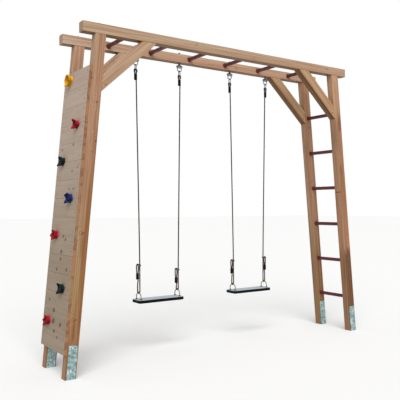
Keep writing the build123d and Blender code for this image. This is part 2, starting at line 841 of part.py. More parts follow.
def make_seat(label, middle):
    with BuildPart() as seat:
        with BuildSketch(Plane.XY.offset(seat_top - seat_thickness)):
            with Locations((middle, beam_line)):
                RectangleRounded(seat_length, seat_depth, seat_corner)
        extrude(amount=seat_thickness)
        fillet(seat.edges().group_by(Axis.Z)[-1], seat_edge)
        fillet(seat.edges().group_by(Axis.Z)[0], seat_edge)
        with BuildSketch(Plane.XY.offset(seat_top)):
            with Locations(*seat_feet(middle)):
                Circle(bracket_bar + clearance)
        extrude(amount=-seat_thickness, mode=Mode.SUBTRACT)
        with BuildSketch(Plane.XY.offset(seat_top - seat_thickness)):
            with Locations(*seat_feet(middle)):
                Circle(nut_pocket_radius)
        extrude(amount=nut_pocket_depth, mode=Mode.SUBTRACT)
    hand_over(seat, label)


def make_brackets(label, middle):
    with BuildPart() as brackets:
        for hand in (-1, 1):
            with BuildLine(across_plane(middle + hand * bracket_offset)) as bar:
                FilletPolyline(
                    (beam_line - bracket_foot, leg_end),
                    (beam_line - bracket_foot, knee_height),
                    (beam_line, bend_corner),
                    (beam_line + bracket_foot, knee_height),
                    (beam_line + bracket_foot, leg_end),
                    radius=[bracket_knee, bracket_bend, bracket_knee],
                )
            line = bar.wires()[0]
            with BuildSketch(Plane(origin=line @ 0, z_dir=line % 0)):
                Circle(bracket_bar)
            sweep(path=line)
    hand_over(brackets, label)


def make_seat_nuts(label, middle):
    """A flanged nut on top of the seat and a washer and nut in each pocket under it."""
    pocket_top = seat_top - seat_thickness + nut_pocket_depth
    washer_low = pocket_top - seat_washer
    rings = (
        (seat_top, seat_washer, Circle, seat_washer_radius),
        (seat_top + seat_washer, seat_nut_height, RegularPolygon, axle_nut_apothem),
        (washer_low, seat_washer, Circle, seat_washer_radius),
        (washer_low - seat_gap - seat_nut_height, seat_nut_height, RegularPolygon, axle_nut_apothem),
    )
    with BuildPart() as seat_nuts:
        for low, height, shape, size in rings:
            with BuildSketch(Plane.XY.offset(low)):
                with Locations(*seat_feet(middle)):
                    if shape is Circle:
                        Circle(size)
                    else:
                        RegularPolygon(radius=size, side_count=6, major_radius=False)
                    Circle(bracket_bar + clearance / 2, mode=Mode.SUBTRACT)
            extrude(amount=height)
    hand_over(seat_nuts, label)


for side, name in ((-1, "left"), (1, "right")):
    middle = side * swing_reach
    hangers = [middle - hanger_offset, middle + hanger_offset]
    ropes = []
    for hand, hand_name in ((-1, "left"), (1, "right")):
        ring_z, sleeve_side = rope_settings[(name, hand_name)]
        rope = (middle + hand * hanger_offset, middle + hand * bracket_offset, ring_z, sleeve_side)
        ropes.append(rope)
        make_rope(f"{name}_swing_rope_{hand_name}", *rope)
    make_stirrups(f"{name}_swing_stirrups", hangers)
    make_axle_bolts(f"{name}_swing_axle_bolts", hangers)
    make_links(f"{name}_swing_links", hangers)
    make_sleeves(f"{name}_swing_rope_sleeves", ropes)
    make_rope_rings(f"{name}_swing_rope_rings", ropes)
    make_seat(f"{name}_seat", middle)
    make_brackets(f"{name}_seat_brackets", middle)
    make_seat_nuts(f"{name}_seat_nuts", middle)
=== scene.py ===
"""Looks of the timber monkey bars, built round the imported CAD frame.

Metres, +Z up, +X along the beams towards the ladder, +Y towards the swing side.
"""

import bmesh
import bpy
import math
from mathutils import Matrix, Vector, noise


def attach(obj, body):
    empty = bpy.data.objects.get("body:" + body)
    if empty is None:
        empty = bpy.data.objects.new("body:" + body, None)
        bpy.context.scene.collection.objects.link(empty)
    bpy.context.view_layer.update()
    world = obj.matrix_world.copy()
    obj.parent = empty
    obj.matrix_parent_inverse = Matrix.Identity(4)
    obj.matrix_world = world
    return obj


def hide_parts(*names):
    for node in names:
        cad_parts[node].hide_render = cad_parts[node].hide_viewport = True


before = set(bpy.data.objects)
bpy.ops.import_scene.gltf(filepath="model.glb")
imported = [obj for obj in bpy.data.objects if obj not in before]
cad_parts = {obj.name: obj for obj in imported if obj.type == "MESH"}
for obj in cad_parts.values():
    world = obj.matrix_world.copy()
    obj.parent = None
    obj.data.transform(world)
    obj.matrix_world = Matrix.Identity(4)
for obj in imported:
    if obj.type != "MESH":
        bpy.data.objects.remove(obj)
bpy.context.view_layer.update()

# ---- sizes, in metres

beam_line = 0.1815
beam_under = 2.271
beam_top = 2.34
foot_reach = 1.375
head_reach = 1.158
post_level_width = 0.077
post_depth = 0.063
lean = math.atan2(foot_reach - head_reach, beam_under)
foot_middle = foot_reach - post_level_width / 2
brace_slope = math.radians(42)
board_start = 0.158
board_pitch = 0.1269
board_thickness = 0.023
board_pith_depth = 0.03    # how far behind the boards' back their growth rings have their middle
brace_reach = 0.747        # a brace's middle line under the beam, from the middle
rung_count = 6
swing_reach = 0.453
hanger_offset = 0.199
bracket_offset = 0.174
anchor_bolt_heights = (0.051, 0.198)
# the four posts: side, depth and name
corners = [
    (side, depth, f"{depth_name}_{side_name}")
    for side, side_name in ((-1, "left"), (1, "right"))
    for depth, depth_name in ((-1, "front"), (1, "rear"))
]


def placed(spot, x, y, z):
    """The matrix that puts an origin at spot, with its axes along x, y and z."""
    return Matrix.Translation(spot) @ Matrix((x, y, z)).transposed().to_4x4()


def add_object(name, data):
    new = bpy.data.objects.new(name, data)
    bpy.context.scene.collection.objects.link(new)
    return new


# ---- camera

camera_place = (-2.7774, -3.8190, 1.1005)
camera_turn = (0.59738, 0.01417, -0.0030)  # yaw from +Y towards +X, pitch up, and roll
camera_lens = 52.85


def make_camera():
    yaw, pitch, roll = camera_turn
    forward = Vector(
        (math.sin(yaw) * math.cos(pitch), math.cos(yaw) * math.cos(pitch), math.sin(pitch))
    )
    level_right = Vector((math.cos(yaw), -math.sin(yaw), 0))
    level_up = level_right.cross(forward)
    right = level_right * math.cos(roll) + level_up * math.sin(roll)
    up = level_up * math.cos(roll) - level_right * math.sin(roll)
    data = bpy.data.cameras.new("camera")
    data.lens = camera_lens
    data.sensor_width = 36
    data.clip_end = 100
    camera = add_object("camera", data)
    camera.matrix_world = placed(camera_place, right, up, -forward)
    bpy.context.scene.camera = camera


make_camera()

# ---- node helpers


def put(tree, kind, inputs=None, out=0, **settings):
    """A shader node, its inputs given as numbers, colours or other nodes' outputs."""
    node = tree.nodes.new("ShaderNode" + kind)
    for key, value in settings.items():
        setattr(node, key, value)
    for key, value in (inputs or {}).items():
        if isinstance(value, bpy.types.NodeSocket):
            tree.links.new(value, node.inputs[key])
        else:
            node.inputs[key].default_value = value
    return node.outputs[out]


def calc(tree, operation, a, b=0.0):
    return put(tree, "Math", {0: a, 1: b}, operation=operation)


def times(tree, a, b):
    return calc(tree, "MULTIPLY", a, b)


def plus(tree, a, b):
    return calc(tree, "ADD", a, b)


def minus(tree, a, b):
    return calc(tree, "SUBTRACT", a, b)


def vector_calc(tree, operation, a, b=(0, 0, 0), out=0):
    return put(tree, "VectorMath", {0: a, 1: b}, out=out, operation=operation)


def scaled(tree, vector, factor):
    return put(tree, "VectorMath", {0: vector, 3: factor}, operation="SCALE")


def part_of(tree, vector, axis):
    """A vector's X, Y or Z part, for an axis of 0, 1 or 2."""
    return put(tree, "SeparateXYZ", {0: vector}, out=axis)


def surface_normal(tree):
    return put(tree, "NewGeometry", out="Normal")


def span(tree, value, low, high, start=0.0, end=1.0):
    """A smooth step from start to end as value goes from low to high."""
    inputs = {"Value": value, "From Min": low, "From Max": high, "To Min": start, "To Max": end}
    return put(tree, "MapRange", inputs, interpolation_type="SMOOTHSTEP")


def grain_noise(tree, vector, scale, detail=3.0, roughness=0.5):
    inputs = {"Vector": vector, "Scale": scale, "Detail": detail, "Roughness": roughness}
    return put(tree, "TexNoise", inputs)


def stretched(tree, vector, factors):
    return vector_calc(tree, "MULTIPLY", vector, factors)


def streaks(tree, vector, factors, detail, roughness=0.5):
    """Noise with its own fineness in each direction."""
    return grain_noise(tree, stretched(tree, vector, factors), 1.0, detail, roughness)


def opaque(colour):
    return (*colour, 1) if isinstance(colour, tuple) else colour


def mixed(tree, factor, a, b, blend="MIX"):
    inputs = {0: factor, 6: opaque(a), 7: opaque(b)}
    return put(tree, "Mix", inputs, out=2, data_type="RGBA", blend_type=blend)


def ramp(tree, factor, *stops):
    """A grey that goes straight from each (position, level) stop to the next."""
    node = tree.nodes.new("ShaderNodeValToRGB")
    tree.links.new(factor, node.inputs[0])
    steps = node.color_ramp.elements
    for step, (position, level) in zip(steps, (stops[0], stops[-1])):
        step.position, step.color = position, (level, level, level, 1)
    for position, level in stops[1:-1]:
        steps.new(position).color = (level, level, level, 1)
    return node.outputs[0]


def bump(tree, height, distance, strength):
    inputs = {"Height": height, "Distance": distance, "Strength": strength}
    return put(tree, "Bump", inputs)


def start_material(name, **sockets):
    """A material with one Principled shader; returns it, its tree and the shader."""
    material = bpy.data.materials.new(name)
    material.use_nodes = True
    shader = material.node_tree.nodes["Principled BSDF"]
    for key, value in sockets.items():
        shader.inputs[key.replace("_", " ")].default_value = value
    return material, material.node_tree, shader


def feed(tree, shader, **sockets):
    for key, value in sockets.items():
        tree.links.new(value, shader.inputs[key.replace("_", " ")])


def object_place(tree):
    return put(tree, "TexCoord", out="Object")


# ---- materials


def along_grain(tree, place, along, across, third):
    """The place in the timber's own directions: x along the grain, y and z across it."""
    parts = [
        vector_calc(tree, "DOT_PRODUCT", place, axis, 1)
        for axis in (along, across, third)
    ]
    return put(tree, "CombineXYZ", {0: parts[0], 1: parts[1], 2: parts[2]}), parts


def wood_fibres(tree, local):
    """Height of the fine fibres that planing leaves."""
    fine = streaks(tree, local, (7, 420, 420), 4)
    coarse = streaks(tree, local, (3, 120, 120), 3)
    return plus(tree, times(tree, fine, 0.6), times(tree, coarse, 0.4))


def hypotenuse(tree, y, z):
    return calc(tree, "SQRT", plus(tree, times(tree, y, y), times(tree, z, z)))


def relief(tree, fibres, latewood):
    """How far the surface stands up, from its fibres and its hard latewood."""
    return plus(tree, times(tree, fibres, 0.7), times(tree, latewood, 0.3))


def growth_rings(tree, local, parts, middle, pith, spacing, swirl):
    """Place within a growth ring, from 0 to 1, round a pith beside the timber's middle line."""
    wander = streaks(tree, local, (0.9, 4, 4), 2)
    wobble = times(tree, minus(tree, wander, 0.5), 0.035)
    y = plus(tree, minus(tree, parts[1], middle[0] + pith[0]), wobble)
    z = minus(tree, parts[2], middle[1] + pith[1])
    radius = hypotenuse(tree, y, z)
    uneven = streaks(tree, local, (2.5, 30, 30), 3)
    turns = plus(tree, calc(tree, "DIVIDE", radius, spacing), times(tree, uneven, 1.6))
    if swirl is not None:
        turns = plus(tree, turns, swirl)
    return calc(tree, "FRACT", turns)


def knots_at(tree, parts, knots, flatness=1.5):
    """(how much each point is inside a knot, how far the grain bends round them).

    Each knot is its place along parts[0], its place along parts[axis], its radius, and axis.
    flatness is how many times wider a knot is across the grain than along it.
    """
    inside, swirl = None, None
    for along, sideways, radius, axis in knots:
        side = minus(tree, parts[axis], sideways)
        up = minus(tree, parts[0], along)
        # the branch leans, so its oval is tilted
        tilted = plus(tree, up, times(tree, side, 0.35))
        oval = put(tree, "CombineXYZ", {0: times(tree, tilted, flatness), 1: side})
        core = vector_calc(tree, "LENGTH", oval, out=1)
        core = span(tree, core, radius * 0.4, radius * 1.15, 1.0, 0.0)
        round_it = put(tree, "CombineXYZ", {0: times(tree, up, 0.55), 1: side})
        bend = vector_calc(tree, "LENGTH", round_it, out=1)
        bend = span(tree, bend, 0.0, radius * 4.5, 3.4, 0.0)
        inside = core if inside is None else calc(tree, "MAXIMUM", inside, core)
        swirl = bend if swirl is None else plus(tree, swirl, bend)
    return inside, swirl


def knot_edge(tree, inside):
    """Strongest on a knot's outline, and nothing inside or outside it."""
    return times(tree, inside, minus(tree, 1.0, inside))


def stained_and_shaded(tree, parts, base, stains_and_shade):
    """The base colour, tinted in soft patches of stain and of painted shade and painted light: (along,
    across, half length, half width, tint).
    """
    for along, across, half_length, half_width, tint in stains_and_shade:
        x = calc(tree, "DIVIDE", minus(tree, parts[0], along), half_length)
        y = calc(tree, "DIVIDE", minus(tree, parts[1], across), half_width)
        reach = vector_calc(tree, "LENGTH", put(tree, "CombineXYZ", {0: x, 1: y}), out=1)
        base = mixed(tree, span(tree, reach, 0.35, 1.0, 1.0, 0.0), base, tint, "MULTIPLY")
    return base


def tinted(colour, tint):
    return tuple(value * share for value, share in zip(colour, tint))


def make_wood(
    name, directions, middle, pith, tones, knots=(), seed=0.0, spacing=0.0052, low_tone=None, stains_and_shade=()
):
    """Oiled softwood. directions are along the grain and the two across it; tones are pale, warm, late.

    middle is the timber's middle line in the two cross directions, and pith is from there.
    low_tone is a painted shade over the foot: height where it starts, height where it is full, tint,
    and how much of it the faces along X have.
    """
    material, tree, shader = start_material(name, Specular_IOR_Level=0.35)
    place = object_place(tree)
    local, parts = along_grain(tree, place, *directions)
    shifted = vector_calc(tree, "ADD", local, (seed, seed * 0.7, seed * 0.4))
    inside, swirl = knots_at(tree, parts, knots)
    ring = growth_rings(tree, shifted, parts, middle, pith, spacing, swirl)
    pale, warm, late = tones
    broad = streaks(tree, shifted, (0.55, 13, 13), 3, 0.55)
    base = mixed(tree, span(tree, broad, 0.36, 0.64), pale, warm)
    bands = streaks(tree, shifted, (0.35, 34, 34), 2)
    gold = tinted(pale, (1.02, 1.04, 0.86))
    base = mixed(tree, span(tree, bands, 0.5, 0.66, 0.0, 0.8), base, gold)
    rose = tinted(warm, (1.06, 0.88, 0.80))
    base = mixed(tree, span(tree, bands, 0.48, 0.34, 0.0, 0.8), base, rose)
    streak = streaks(tree, shifted, (1.6, 75, 75), 3)
    base = mixed(tree, span(tree, streak, 0.44, 0.66, 0.0, 0.7), base, late)
    latewood = ramp(tree, ring, (0.0, 0), (0.55, 0.12), (0.9, 1), (1.0, 0.05))
    base = mixed(tree, times(tree, latewood, 0.62), base, late)
    fibres = wood_fibres(tree, shifted)
    shade = span(tree, fibres, 0.3, 0.7, 0.86, 1.08)
    base = scaled(tree, base, shade)
    normal = surface_normal(tree)
    upward = part_of(tree, normal, 2)
    facing_x = calc(tree, "ABSOLUTE", part_of(tree, normal, 0))
    if low_tone is not None:
        # painted shade over the post's foot, with a ragged top edge
        height = part_of(tree, place, 2)
        ragged = plus(tree, height, times(tree, streak, 0.3))
        painted_foot_shade = span(tree, ragged, low_tone[0] + 0.15, low_tone[1] + 0.15)
        painted_foot_shade = times(tree, painted_foot_shade, span(tree, facing_x, 0.75, 0.95, 1.0, low_tone[3]))
        base = mixed(tree, painted_foot_shade, base, low_tone[2], "MULTIPLY")
    base = stained_and_shaded(tree, parts, base, stains_and_shade)
    if inside is not None:
        heart = tinted(late, (0.75, 0.62, 0.55))
        rim = tinted(late, (0.30, 0.22, 0.2))
        base = mixed(tree, times(tree, inside, 0.85), base, heart)
        edge = knot_edge(tree, inside)
        base = mixed(tree, times(tree, edge, 3.2), base, rim)
    # painted light: faces towards X are tinted paler and greyer, as if lit from the side
    painted_side_light = span(tree, facing_x, 0.75, 0.95)
    base = mixed(tree, painted_side_light, base, side_tint, "MULTIPLY")
    # painted shade: faces that look down are darkened
    painted_under_shade = span(tree, upward, -0.6, -0.3, 1.0, 0.0)
    base = mixed(tree, painted_under_shade, base, under_tint, "MULTIPLY")
    # painted light: faces that look up are made paler
    painted_top_light = span(tree, upward, 0.35, 0.62)
    base = mixed(tree, painted_top_light, base, top_tint, "MULTIPLY")
    facing = vector_calc(tree, "DOT_PRODUCT", normal, directions[0], 1)
    end_grain = span(tree, calc(tree, "ABSOLUTE", facing), 0.7, 0.95, 0.0, 0.45)
    base = mixed(tree, end_grain, base, tinted(late, (0.7, 0.62, 0.55)))
    height = relief(tree, fibres, latewood)
    feed(
        tree, shader, Base_Color=base,
        Roughness=span(tree, streak, 0.3, 0.7, 0.5, 0.72),
        Normal=bump(tree, height, 0.0007, 0.7),
    )
    return material


# pale, warm and late tones of the sound timber
frame_tones = ((0.45, 0.335, 0.241), (0.396, 0.245, 0.155), (0.27, 0.145, 0.080))
post_tones = ((0.391, 0.261, 0.170), (0.357, 0.194, 0.112), (0.23, 0.108, 0.053))
# what a timber's colour is multiplied by: painted light on faces towards X, painted shade on ones that look
# down and painted light on ones that look up
side_tint = (1.04, 1.18, 1.30)
under_tint = (0.36, 0.28, 0.14)
top_tint = (1.30, 1.36, 1.42)


def timber_directions(angle):
    """Along and across a timber that stands in the XZ plane at an angle from X."""
    along = (math.cos(angle), 0, math.sin(angle))
    across = (-math.sin(angle), 0, math.cos(angle))
    return along, across, (0, 1, 0)


def across_of(directions, x, z):
    return directions[1][0] * x + directions[1][2] * z


def coat_timbers():
    """A material of its own for every timber, with the knots where they are seen."""
    # knots in the faces towards X: (up the post, Y, radius)
    side_knots = {
        "post_front_right": ((1.70, -0.19, 0.006), (1.686, -0.223, 0.005)),
        "post_rear_right": ((1.68, 0.167, 0.007),),
    }
    # knots in the front and back faces: (up the post, across it from its middle, radius)
    post_knots = {
        "post_front_left": (
            (1.972, -0.033, 0.006),
            (1.819, 0.013, 0.008),
            (1.559, 0.031, 0.012),
            (1.36, -0.032, 0.004),
            (0.943, -0.004, 0.011),
            (0.379, -0.005, 0.011),
        ),
        "post_front_right": (
            (1.80, 0.012, 0.010),
            (1.251, -0.034, 0.008),
            (0.62, 0.012, 0.009),
        ),
        "post_rear_left": ((2.08, 0.0, 0.008), (0.6, -0.01, 0.009)),
        "post_rear_right": (
            (1.86, 0.006, 0.010),
            (1.36, -0.012, 0.007),
            (0.98, 0.01, 0.009),
        ),
    }
    # soft patches on the front posts: some are stains, some are painted shade and painted light
    post_stains_and_shade = {
        "post_front_left": (
            (1.02, 0.030, 1.05, 0.036, (0.73, 0.54, 0.31)),
            (0.62, -0.028, 0.47, 0.032, (1.02, 1.34, 1.38)),
            (0.30, -0.008, 0.10, 0.016, (0.72, 0.60, 0.46)),
            (0.86, -0.004, 0.12, 0.018, (0.80, 0.74, 0.62)),
        ),
        "post_front_right": (
            (1.86, 0.016, 0.10, 0.026, (0.70, 0.56, 0.50)),
            (1.444, -0.007, 0.07, 0.012, (0.70, 0.56, 0.50)),
            (1.74, -0.022, 0.22, 0.030, (0.80, 0.80, 0.84)),
            (2.15, 0.0, 0.30, 0.090, (1.30, 1.42, 1.60)),
        ),
    }
    # each post's tint, and (top, full, tint, share on the faces along X) of the painted shade on its foot
    post_shades = {
        "post_front_left": ((1.02, 1, 1), (1.45, 0.45, (0.78, 0.65, 0.43), 1)),
        "post_rear_left": ((1.28, 1.3, 1.38), (0.95, 0.15, (0.6, 0.5, 0.36), 1)),
        "post_front_right": ((0.92, 0.76, 0.63), (0.725, 0.70, (0.45, 0.39, 0.25), 0.45)),
        "post_rear_right": ((0.97, 0.90, 0.84), (1.3, 0.4, (0.64, 0.54, 0.38), 1)),
    }
    brace_shades = {
        "brace_front_left": (1.02, 0.98, 0.97),
        "brace_rear_left": (1.12, 1.04, 1.0),
        "brace_front_right": (1.02, 0.96, 0.78),
        "brace_rear_right": (1.02, 0.96, 0.78),
    }
    for side, depth, corner in corners:
        name = f"post_{corner}"
        directions = timber_directions(math.pi / 2 + side * lean)
        middle = (across_of(directions, side * foot_middle, 0), depth * beam_line)
        # the timber's own across direction runs towards -X
        foot = -foot_middle * math.sin(lean)
        knots = [(up + foot, y, radius, 2) for up, y, radius in side_knots.get(name, ())]
        for up, sideways, radius in post_knots[name]:
            knots.append((up + foot, middle[0] - sideways, radius, 1))
        stains_and_shade = [
            (along + foot, middle[0] - sideways, *rest)
            for along, sideways, *rest in post_stains_and_shade.get(name, ())
        ]
        tint, low = post_shades[name]
        tones = [tinted(tone, tint) for tone in post_tones]
        pith = (0.028 * side, -0.055 * depth)
        seed = 3.1 * side + 1.7 * depth + 9
        wood = make_wood(name, directions, middle, pith, tones, knots, seed, 0.0056, low, stains_and_shade)
        paint(name, wood)
        brace = f"brace_{corner}"
        directions = timber_directions(math.pi / 2 + side * (math.pi / 2 - brace_slope))
        middle = (across_of(directions, side * brace_reach, beam_under), depth * beam_line)
        pith = (0.06, 0.05 * depth)
        tones = [tinted(tone, brace_shades[brace]) for tone in frame_tones]
        paint(brace, make_wood(brace, directions, middle, pith, tones, (), seed + 5, 0.006))
    beam_knots = {
        "beam_front": (
            (1.02, 2.312, 0.009),
            (0.665, 2.327, 0.005),
            (-0.35, 2.318, 0.006),
            (0.2, 2.29, 0.005),
        ),
        "beam_rear": ((-0.62, 2.305, 0.008), (0.3, 2.296, 0.009)),
    }
    beam_shades = {"beam_front": (1, 1, 1), "beam_rear": (1.14, 1.13, 1.2)}
    for name, depth, seed in (("beam_front", -1, 2.2), ("beam_rear", 1, 6.4)):
        directions = timber_directions(0)
        middle = ((beam_under + beam_top) / 2, depth * beam_line)
        pith = (-0.075, 0.03 * depth)
        tones = [tinted(tone, beam_shades[name]) for tone in frame_tones]
        knots = [(x, z, radius, 1) for x, z, radius in beam_knots[name]]
        paint(name, make_wood(name, directions, middle, pith, tones, knots, seed, 0.0058))


def paint(node_name, material):
    """Gives a CAD node its material."""
    for material_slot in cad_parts[node_name].material_slots:
        material_slot.material = material


# knots in the climbing boards: (Y, distance up the wall, radius)
board_knots = (
    (-0.011, 0.812, 0.010),
    (-0.008, 0.762, 0.008),
    (0.044, 0.690, 0.008),
    (-0.129, 0.699, 0.008),
    (-0.023, 0.917, 0.007),
    (-0.066, 0.896, 0.008),
    (0.125, 0.477, 0.007),
    (0.028, 0.416, 0.011),
    (0.018, 0.345, 0.012),
    (-0.107, 0.337, 0.010),
    (-0.006, 0.282, 0.009),
    (-0.069, 0.249, 0.006),
    (0.141, 1.516, 0.006),
    (-0.052, 1.540, 0.007),
    (-0.162, 1.380, 0.005),
    (-0.073, 1.357, 0.006),
    (-0.124, 1.237, 0.006),
    (-0.042, 1.239, 0.005),
)


def make_board_wood():
    """Greyed softwood boards, each with its own tone and heart."""
    material, tree, shader = start_material("climbing_boards", Specular_IOR_Level=0.3)
    place = object_place(tree)
    up = (math.sin(lean), 0, math.cos(lean))
    outward = (-math.cos(lean), 0, math.sin(lean))
    local, parts = along_grain(tree, place, (0, 1, 0), up, outward)
    foot = -foot_reach * math.sin(lean)
    number = calc(tree, "DIVIDE", minus(tree, parts[1], foot + board_start), board_pitch)
    board = calc(tree, "FLOOR", number)
    chance = put(tree, "TexWhiteNoise", {"W": board}, out="Color", noise_dimensions="1D")
    offset = stretched(tree, chance, (40, 7, 5))
    shifted = vector_calc(tree, "ADD", local, offset)
    tone = put(tree, "SeparateColor", {0: chance}, out=0)
    warmth = put(tree, "SeparateColor", {0: chance}, out=1)
    heart = put(tree, "SeparateColor", {0: chance}, out=2)
    within = minus(tree, calc(tree, "FRACT", number), heart)
    y = times(tree, within, board_pitch)
    wander = streaks(tree, shifted, (2.2, 6, 6), 2)
    y = plus(tree, y, times(tree, minus(tree, wander, 0.5), 0.05))
    z = plus(tree, parts[2], board_pith_depth - foot_reach * math.cos(lean))
    radius = hypotenuse(tree, y, z)
    ring = calc(tree, "FRACT", calc(tree, "DIVIDE", radius, 0.0048))
    latewood = ramp(tree, ring, (0.0, 0), (0.6, 0.15), (0.9, 1), (1.0, 0.05))
    base = mixed(tree, warmth, (0.42, 0.335, 0.272), (0.405, 0.315, 0.25))
    base = mixed(tree, times(tree, latewood, 0.16), base, (0.24, 0.165, 0.115))
    broad = streaks(tree, shifted, (1.4, 16, 16), 3)
    base = mixed(tree, span(tree, broad, 0.4, 0.75, 0.0, 0.25), base, (0.30, 0.22, 0.16))
    fibres = wood_fibres(tree, shifted)
    shade = times(tree, span(tree, fibres, 0.3, 0.7, 0.9, 1.06), span(tree, tone, 0, 1, 0.965, 1.03))
    base = scaled(tree, base, shade)
    # short dark checks and specks
    cells = {"Vector": stretched(tree, shifted, (16, 34, 34)), "Scale": 1.0, "Randomness": 1.0}
    specks = span(tree, put(tree, "TexVoronoi", cells), 0.07, 0.13, 0.75, 0.0)
    chosen = span(tree, streaks(tree, shifted, (4, 9, 9), 2), 0.5, 0.62)
    base = mixed(tree, times(tree, specks, chosen), base, (0.09, 0.06, 0.045))
    knots = [(y, up_wall + foot, 1.5 * radius, 1) for y, up_wall, radius in board_knots]
    inside, _ = knots_at(tree, parts, knots, 0.8)
    base = mixed(tree, times(tree, inside, 0.78), base, (0.15, 0.090, 0.056))
    edge = knot_edge(tree, inside)
    base = mixed(tree, times(tree, edge, 2.8), base, (0.07, 0.042, 0.028))
    # darker towards the bottom of the wall
    height_above = part_of(tree, place, 2)
    lower_darkening = span(tree, height_above, 1.95, 0.55, 0.0, 1.0)
    base = mixed(tree, lower_darkening, base, (0.70, 0.69, 0.62), "MULTIPLY")
    normal = surface_normal(tree)
    facing = vector_calc(tree, "DOT_PRODUCT", normal, (0, 1, 0), 1)
    end_grain = span(tree, calc(tree, "ABSOLUTE", facing), 0.7, 0.95)
    end_colour = mixed(tree, tone, (0.36, 0.155, 0.078), (0.285, 0.175, 0.085))
    blotch = streaks(tree, shifted, (14, 20, 20), 3, 0.55)
    end_colour = mixed(tree, span(tree, blotch, 0.46, 0.64, 0.0, 0.6), end_colour, (0.135, 0.055, 0.03))
    end_colour = mixed(tree, times(tree, latewood, 0.6), end_colour, (0.11, 0.045, 0.025))
    base = mixed(tree, end_grain, base, end_colour)
    height = relief(tree, fibres, latewood)
    feed(
        tree, shader, Base_Color=base,
        Roughness=span(tree, broad, 0.3, 0.7, 0.62, 0.82),
        Normal=bump(tree, height, 0.0006, 0.7),
    )
    return material


def make_coat(name, colour, worn, roughness=0.34, speckle=900.0, gloss=0.35, darkening=0.0):
    """Powder coat or moulded plastic: fine orange peel, with scuffs of a second colour.

    The last argument is how dark the painted shade is in the hollows that the mesh marks; with it,
    faces that look up get painted light and ones that look down get painted shade.
    """
    material, tree, shader = start_material(name, Specular_IOR_Level=gloss)
    place = object_place(tree)
    scuffs = grain_noise(tree, place, 23.0, 5, 0.62)
    fine = grain_noise(tree, place, speckle, 2)
    marks = times(tree, span(tree, scuffs, 0.52, 0.68), 0.6)
    base = mixed(tree, marks, colour, worn)
    tone_shift = span(tree, grain_noise(tree, place, 140.0, 4), 0.35, 0.75, 0.9, 1.12)
    base = scaled(tree, base, tone_shift)
    if darkening:
        # painted shade in the hollows that the mesh's hollow attribute marks
        hollow = put(tree, "Attribute", out="Fac", attribute_name="hollow")
        painted_shading = minus(tree, 1.0, times(tree, hollow, darkening))
        # painted light on faces that look up, painted shade on ones that look down
        upward = part_of(tree, surface_normal(tree), 2)
        painted_shading = times(tree, painted_shading, span(tree, upward, -0.7, 0.9, 0.62, 1.3))
        base = scaled(tree, base, painted_shading)
    feed(
        tree, shader, Base_Color=base,
        Roughness=span(tree, scuffs, 0.35, 0.7, roughness, roughness + 0.28),
        Normal=bump(tree, fine, 0.0002, 0.35),
    )
    return material


def make_metal(name, colour, stain, roughness):
    """Plated steel with clouding and small stains."""
    material, tree, shader = start_material(name, Metallic=1.0)
    place = object_place(tree)
    cloud = grain_noise(tree, place, 60.0, 4, 0.6)
    fine = grain_noise(tree, place, 700.0, 3)
    base = mixed(tree, span(tree, cloud, 0.45, 0.72, 0.0, 0.8), colour, stain)
    feed(
        tree, shader, Base_Color=base,
        Roughness=span(tree, cloud, 0.3, 0.7, roughness, roughness + 0.25),
        Normal=bump(tree, fine, 0.0002, 0.3),
    )
    return material


def make_galvanised():
    """Hot-dip zinc with its crystal spangle and a bluish bloom."""
    material, tree, shader = start_material("galvanised", Metallic=0.55)
    place = object_place(tree)
    warp = put(tree, "TexNoise", {"Vector": place, "Scale": 90.0}, out=1)
    bent = vector_calc(tree, "ADD", place, stretched(tree, warp, (0.006,) * 3))
    cells = put(tree, "TexVoronoi", {"Vector": bent, "Scale": 110.0}, out=1)
    spangle = put(tree, "SeparateColor", {0: cells}, out=0)
    bloom = grain_noise(tree, place, 42.0, 5, 0.6)
    frost = streaks(tree, place, (34, 34, 22), 4, 0.6)
    base = mixed(tree, spangle, (0.17, 0.285, 0.285), (0.40, 0.55, 0.545))
    base = mixed(tree, span(tree, bloom, 0.47, 0.62, 0.0, 0.75), base, (0.12, 0.20, 0.20))
    base = mixed(tree, span(tree, frost, 0.5, 0.66, 0.0, 0.7), base, (0.60, 0.72, 0.715))
    feed(
        tree, shader, Base_Color=base,
        Roughness=span(tree, spangle, 0, 1, 0.34, 0.56),
        Normal=bump(tree, bloom, 0.0008, 0.5),
    )
    return material


def make_rope_fibre(name, colour, dark):
    """Fuzzy twisted yarn, dirtier towards the bottom."""
    material, tree, shader = start_material(name, Roughness=0.92, Sheen_Weight=0.08, Specular_IOR_Level=0.12)
    place = object_place(tree)
    yarn = streaks(tree, place, (900, 900, 260), 3)
    patch = streaks(tree, place, (30, 30, 55), 3)
    height = part_of(tree, place, 2)
    darkening = span(tree, height, 1.3, 0.55)
    base = mixed(tree, span(tree, patch, 0.35, 0.7, 0.0, 0.8), colour, dark)
    base = mixed(tree, times(tree, darkening, 0.8), base, (0.066, 0.032, 0.024))
    shade = span(tree, yarn, 0.3, 0.7, 0.68, 1.2)
    base = scaled(tree, base, shade)
    feed(tree, shader, Base_Color=base, Normal=bump(tree, yarn, 0.0006, 0.8))
    return material


def make_rubber(name, side, top):
    """Moulded rubber; faces that look up are painted a pale bluish grey, a painted sky reflection that is
    uneven in patches.
    """
    material, tree, shader = start_material(name, Specular_IOR_Level=0.07)
    place = object_place(tree)
    crumb = grain_noise(tree, place, 420.0, 4, 0.6)
    patch = grain_noise(tree, place, 16.0, 4, 0.6)
    upward = part_of(tree, surface_normal(tree), 2)
    # painted reflection: the top colour goes on faces that look up, uneven in patches
    tone_shift = times(tree, span(tree, upward, 0.80, 0.97), span(tree, patch, 0.3, 0.7, 0.88, 1.0))
    base = mixed(tree, tone_shift, side, top)
    shade = span(tree, crumb, 0.3, 0.7, 0.8, 1.18)
    base = scaled(tree, base, shade)
    feed(
        tree, shader, Base_Color=base,
        Roughness=span(tree, patch, 0.3, 0.7, 0.45, 0.7),
        Normal=bump(tree, crumb, 0.0004, 0.5),
    )
    return material


